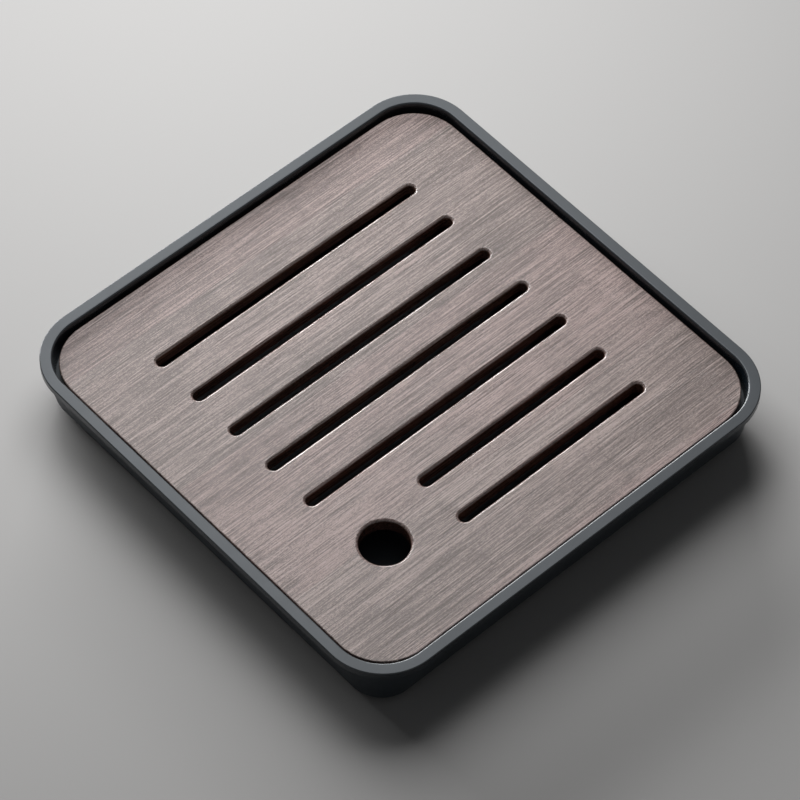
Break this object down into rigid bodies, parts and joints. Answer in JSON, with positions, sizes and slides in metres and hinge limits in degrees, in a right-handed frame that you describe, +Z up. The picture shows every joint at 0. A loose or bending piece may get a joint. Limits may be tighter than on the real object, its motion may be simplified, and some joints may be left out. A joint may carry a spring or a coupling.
{
  "type": "tea tray",
  "caption": "Square black moulded basin with an overhanging rim, an inner ledge that carries a lift-out slotted bamboo board with a finger hole, and soft feet below.",
  "frame": {"origin": "on the table, under the middle of the square tray", "axes": "+Z up; +X along the slots, with the finger hole at -X; +Y across the slots, with the finger hole at -Y"},
  "size_m": [0.2, 0.2, 0.026],
  "materials": {
    "basin_plastic": "satin black moulded plastic with a fine even skin",
    "board_bamboo": "strand bamboo, dark greyish brown, fine grain along the slots, oiled and sanded smooth",
    "foot_rubber": "dark grey silicone rubber, matt"
  },
  "bodies": {
    "basin": {"basin": "basin_plastic", "foot_back_left": "foot_rubber", "foot_back_right": "foot_rubber", "foot_front_left": "foot_rubber", "foot_front_right": "foot_rubber"},
    "board": {"slotted_board": "board_bamboo"}
  },
  "joints": [
    {"name": "board_lift", "type": "slide", "parent": "basin", "child": "board", "axis": [0, 0, 1], "range_m": [0, 0.04]}
  ]
}
